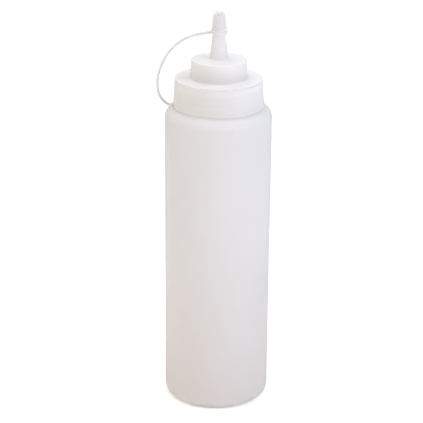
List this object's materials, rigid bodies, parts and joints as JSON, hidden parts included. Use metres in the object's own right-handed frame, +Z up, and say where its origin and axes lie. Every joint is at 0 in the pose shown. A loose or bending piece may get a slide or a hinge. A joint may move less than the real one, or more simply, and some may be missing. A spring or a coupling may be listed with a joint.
{
  "type": "condiment squeeze bottle",
  "caption": "Translucent round squeeze bottle with a screw-on stepped spout cap, a tapered nozzle and a ribbed tip cap held by a curved tether from the neck.",
  "frame": {"origin": "centre of the flat base, on the bottle's axis", "axes": "+Z up along the bottle's axis, towards the nozzle; the tether lies in the X-Z plane on the -X side; the face seen in the picture is towards -Y"},
  "size_m": [0.0754, 0.07, 0.2667],
  "materials": {
    "bottle_ldpe": "natural translucent low-density polyethylene, soft satin",
    "cap_polyethylene": "natural translucent polyethylene, moulded satin",
    "tether_polyethylene": "natural translucent polyethylene, moulded satin"
  },
  "bodies": {
    "bottle": {"bottle_body": "bottle_ldpe"},
    "ring": {"tether_ring": "tether_polyethylene"},
    "spout": {"spout_cap": "cap_polyethylene"},
    "strap": {"tether_strap": "tether_polyethylene"},
    "tip": {"tip_cap": "tether_polyethylene"}
  },
  "joints": [
    {"name": "cap_lift", "type": "slide", "parent": "bottle", "child": "ring", "axis": [0, 0, 1], "range_m": [0, 0.01694]},
    {"name": "cap_unscrew", "type": "hinge", "parent": "ring", "child": "spout", "pos_m": [0, 0, 0.215], "axis": [0, 0, 1], "range_deg": [0, 1440]},
    {"name": "tether_swivel", "type": "hinge", "parent": "spout", "child": "strap", "pos_m": [0, 0, 0.215], "axis": [0, 0, 1], "continuous": true},
    {"name": "tip_cap_pull", "type": "slide", "parent": "strap", "child": "tip", "axis": [0, 0, 1], "range_m": [0, 0.016], "deforming": ["tether_strap"]}
  ],
  "couplings": [
    {"joint": "cap_lift", "follows": "cap_unscrew", "m_per_rad": 0.00067376}
  ]
}
